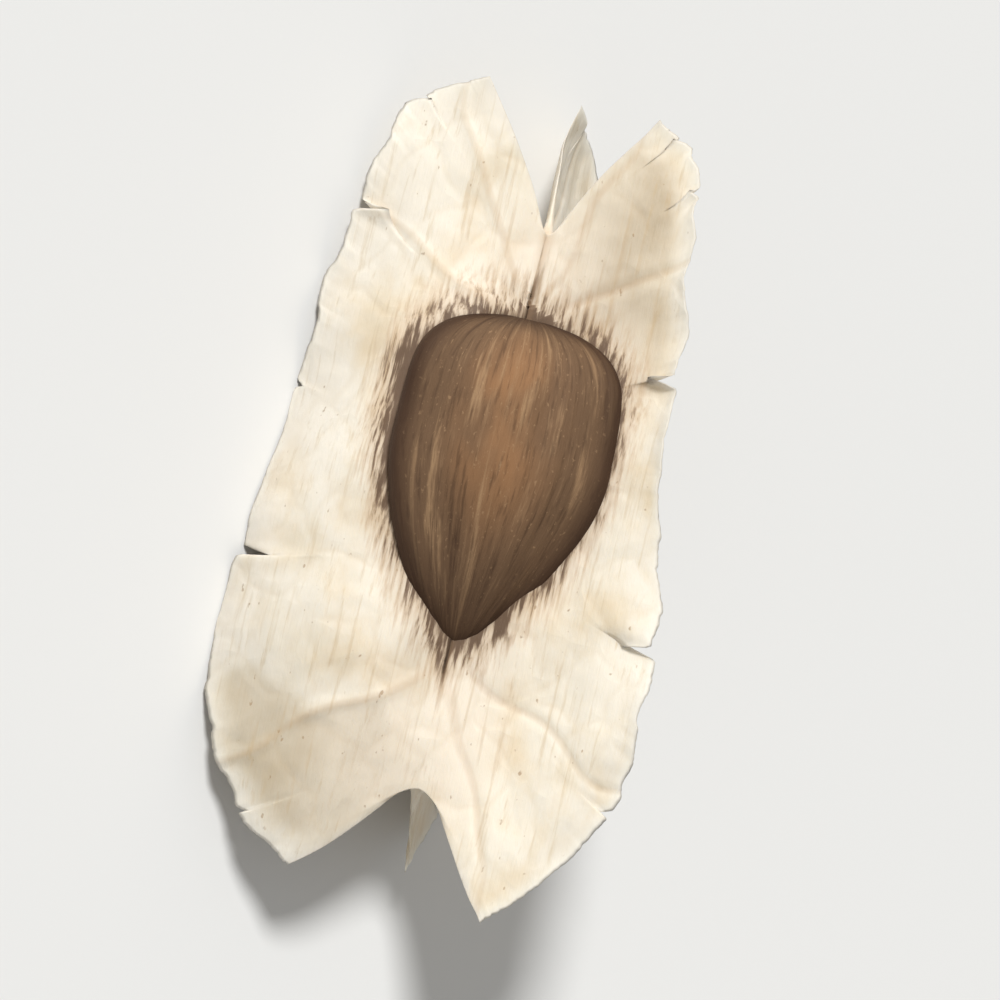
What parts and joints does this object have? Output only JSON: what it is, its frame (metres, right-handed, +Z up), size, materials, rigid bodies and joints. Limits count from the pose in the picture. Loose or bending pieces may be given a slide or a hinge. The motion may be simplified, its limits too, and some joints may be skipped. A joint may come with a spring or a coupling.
{
  "type": "moringa seed",
  "caption": "Winged moringa seed: a rounded, pointed brown hull with papery cream wings along its corners, lying on the edges of two wings.",
  "frame": {"origin": "under the middle of the seed's box, on the surface that the seed lies on", "axes": "+X along the seed's axis towards the hull's pointed end, -Y towards the front, +Z up"},
  "size_m": [0.0298, 0.0148, 0.0113],
  "materials": {
    "hull": "dry, matt, finely ridged lengthwise",
    "wings": "dry, papery, fibrous, slightly see-through at the edges"
  },
  "bodies": {
    "root": {"hull": "hull", "wings": "wings"}
  },
  "joints": []
}
